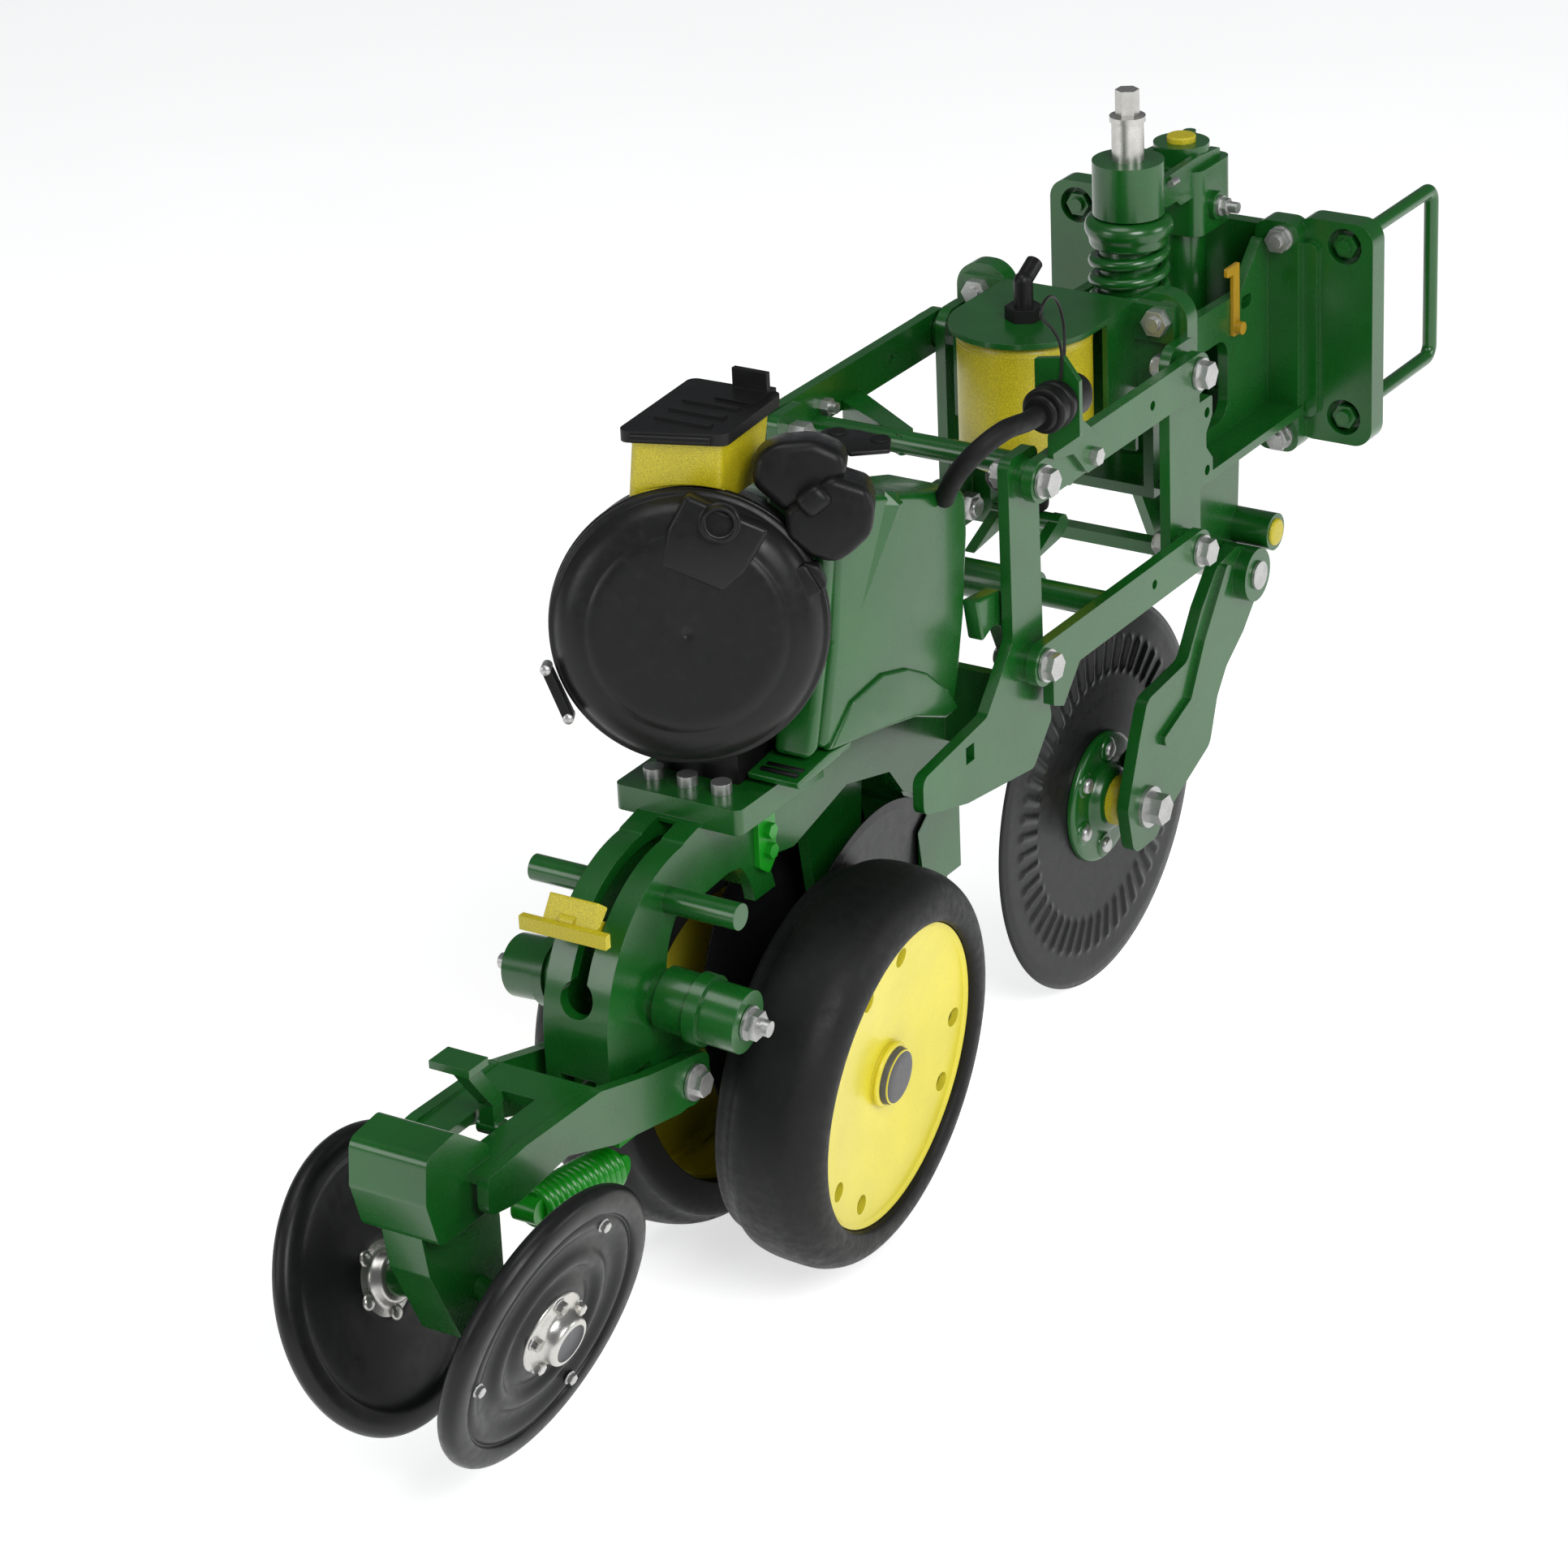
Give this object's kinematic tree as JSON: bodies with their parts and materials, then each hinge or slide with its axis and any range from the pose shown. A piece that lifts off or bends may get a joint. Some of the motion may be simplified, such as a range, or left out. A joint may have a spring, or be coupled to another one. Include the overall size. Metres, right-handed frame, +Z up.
{
  "type": "corn planter",
  "caption": "Single planter row unit with toolbar head, parallel arms, coulter, seed meter, disc openers, gauge wheels and closing wheels.",
  "frame": {"origin": "centre of the toolbar face between the four U-bolt legs", "axes": "+X forward into the toolbar, the direction of travel; +Y left; +Z up"},
  "size_m": [1.833, 0.392, 0.989],
  "materials": {
    "green_paint": "gloss",
    "bright_green_paint": "gloss",
    "yellow_finish": "satin",
    "black_plastic": "satin",
    "black_rubber": "matte",
    "tyre_rubber": "matte",
    "pressed_wheel": "satin",
    "zinc_steel": "satin",
    "blade_steel": "satin",
    "ochre_paint": "gloss"
  },
  "bodies": {
    "head": {"toolbar_bracket": "green_paint", "u_bolts": "green_paint", "u_bolt_nuts": "zinc_steel", "head_bolts": "zinc_steel", "jack_tower": "green_paint", "jack_spring": "green_paint", "post_plug": "yellow_finish", "lock_strap": "ochre_paint", "air_can": "yellow_finish", "air_boot": "black_rubber", "air_bracket": "green_paint", "air_fitting": "black_plastic", "front_pins": "zinc_steel", "coulter_pin": "zinc_steel"},
    "jack_screw_body": {"jack_screw": "zinc_steel"},
    "upper_arms": {"upper_arm_right": "green_paint", "upper_arm_left": "green_paint", "upper_cross": "green_paint", "connector_bracket": "green_paint", "connector": "black_plastic", "arm_bolts": "zinc_steel"},
    "lower_arms": {"lower_arm_right": "green_paint", "lower_arm_left": "green_paint", "lower_cross": "green_paint"},
    "row_frame": {"shank": "green_paint", "frame_beam": "green_paint", "rear_pins": "zinc_steel", "gauge_pins": "zinc_steel", "disc_spindles": "zinc_steel", "frame_bolts": "zinc_steel", "link_block": "bright_green_paint", "scraper_tabs": "bright_green_paint", "meter_body": "black_plastic", "meter_motor": "black_plastic", "mini_hopper": "yellow_finish", "meter_shroud": "green_paint", "feed_hose": "black_rubber", "cover_clips": "black_plastic"},
    "coulter_swing": {"coulter_arm": "green_paint", "coulter_nuts": "zinc_steel"},
    "coulter_disc": {"coulter_blade": "blade_steel", "coulter_hub": "green_paint"},
    "gauge_swing_right": {"gauge_arm_right": "green_paint"},
    "gauge_swing_left": {"gauge_arm_left": "green_paint"},
    "gauge_wheel_right": {"gauge_tyre_right": "tyre_rubber", "gauge_dish_right": "yellow_finish"},
    "gauge_wheel_left": {"gauge_tyre_left": "tyre_rubber", "gauge_dish_left": "yellow_finish"},
    "opener_right": {"opener_disc_right": "blade_steel"},
    "opener_left": {"opener_disc_left": "blade_steel"},
    "depth_setting": {"depth_handle": "yellow_finish"},
    "closing_tail": {"closing_frame": "green_paint", "closing_axles": "green_paint", "down_spring": "bright_green_paint"},
    "closing_wheel_right_body": {"closing_wheel_right": "pressed_wheel"},
    "closing_wheel_left_body": {"closing_wheel_left": "pressed_wheel"},
    "down_pressure": {"down_lever": "bright_green_paint"},
    "lid": {"hopper_lid": "black_plastic"},
    "cover": {"meter_cover": "black_plastic"},
    "disc_drive": {"seed_disc": "black_plastic"}
  },
  "joints": [
    {"name": "arm_lift", "type": "hinge", "parent": "head", "child": "upper_arms", "pos_m": [-0.351, 0, 0.063], "axis": [0, 1, 0], "range_deg": [0, 20]},
    {"name": "lower_arm_lift", "type": "hinge", "parent": "head", "child": "lower_arms", "pos_m": [-0.351, 0, -0.132], "axis": [0, 1, 0], "range_deg": [0, 20], "deforming": ["air_boot"]},
    {"name": "frame_level", "type": "hinge", "parent": "upper_arms", "child": "row_frame", "pos_m": [-0.678, 0, 0.063], "axis": [0, 1, 0], "range_deg": [-20, 0]},
    {"name": "jack_turn", "type": "hinge", "parent": "head", "child": "jack_screw_body", "pos_m": [-0.207, 0, 0.226], "axis": [0, 0, 1], "continuous": true},
    {"name": "coulter_lift", "type": "hinge", "parent": "head", "child": "coulter_swing", "pos_m": [-0.066, -0.06, -0.283], "axis": [0, 1, 0], "range_deg": [0, 10]},
    {"name": "coulter_spin", "type": "hinge", "parent": "coulter_swing", "child": "coulter_disc", "pos_m": [-0.294, 0, -0.471], "axis": [0, 1, 0], "continuous": true},
    {"name": "gauge_lift_right", "type": "hinge", "parent": "row_frame", "child": "gauge_swing_right", "pos_m": [-1.1995, -0.03, -0.2867], "axis": [0.07, -0.9925, -0.1], "range_deg": [0, 10]},
    {"name": "gauge_lift_left", "type": "hinge", "parent": "row_frame", "child": "gauge_swing_left", "pos_m": [-1.1995, 0.03, -0.2867], "axis": [-0.07, -0.9925, 0.1], "range_deg": [0, 10]},
    {"name": "gauge_spin_right", "type": "hinge", "parent": "gauge_swing_right", "child": "gauge_wheel_right", "pos_m": [-0.958, -0.094, -0.46], "axis": [0.07, -0.9925, -0.1], "continuous": true},
    {"name": "gauge_spin_left", "type": "hinge", "parent": "gauge_swing_left", "child": "gauge_wheel_left", "pos_m": [-0.958, 0.094, -0.46], "axis": [-0.07, -0.9925, 0.1], "continuous": true},
    {"name": "opener_spin_right", "type": "hinge", "parent": "row_frame", "child": "opener_right", "pos_m": [-0.83, -0.0255, -0.445], "axis": [0.07, -0.9925, -0.1], "continuous": true},
    {"name": "opener_spin_left", "type": "hinge", "parent": "row_frame", "child": "opener_left", "pos_m": [-0.83, 0.0255, -0.445], "axis": [-0.07, -0.9925, 0.1], "continuous": true},
    {"name": "depth_set", "type": "hinge", "parent": "row_frame", "child": "depth_setting", "pos_m": [-1.14, 0, -0.303], "axis": [0, 1, 0], "range_deg": [-25, 0]},
    {"name": "closing_lift", "type": "hinge", "parent": "row_frame", "child": "closing_tail", "pos_m": [-1.193, 0, -0.375], "axis": [0, 1, 0], "range_deg": [0, 8]},
    {"name": "closing_spin_right", "type": "hinge", "parent": "closing_tail", "child": "closing_wheel_right_body", "pos_m": [-1.493, -0.09, -0.474], "axis": [-0.026, -0.9561, -0.292], "continuous": true},
    {"name": "closing_spin_left", "type": "hinge", "parent": "closing_tail", "child": "closing_wheel_left_body", "pos_m": [-1.493, 0.09, -0.474], "axis": [0.026, -0.9561, 0.292], "continuous": true},
    {"name": "down_pressure_set", "type": "hinge", "parent": "closing_tail", "child": "down_pressure", "pos_m": [-1.427, 0, -0.323], "axis": [0, 1, 0], "range_deg": [-10, 10]},
    {"name": "lid_open", "type": "hinge", "parent": "row_frame", "child": "lid", "pos_m": [-1.0805, 0, 0.221], "axis": [0.3363, -0.9417, 0], "range_deg": [0, 100]},
    {"name": "cover_release", "type": "slide", "parent": "row_frame", "child": "cover", "axis": [-0.853, -0.492, 0.174], "range_m": [0, 0.04]},
    {"name": "seed_disc_spin", "type": "hinge", "parent": "row_frame", "child": "disc_drive", "pos_m": [-1.11, -0.027, 0.0456], "axis": [-0.853, -0.492, 0.174], "continuous": true}
  ],
  "couplings": [
    {"joint": "lower_arm_lift", "follows": "arm_lift", "ratio": 1},
    {"joint": "frame_level", "follows": "arm_lift", "ratio": -1}
  ]
}
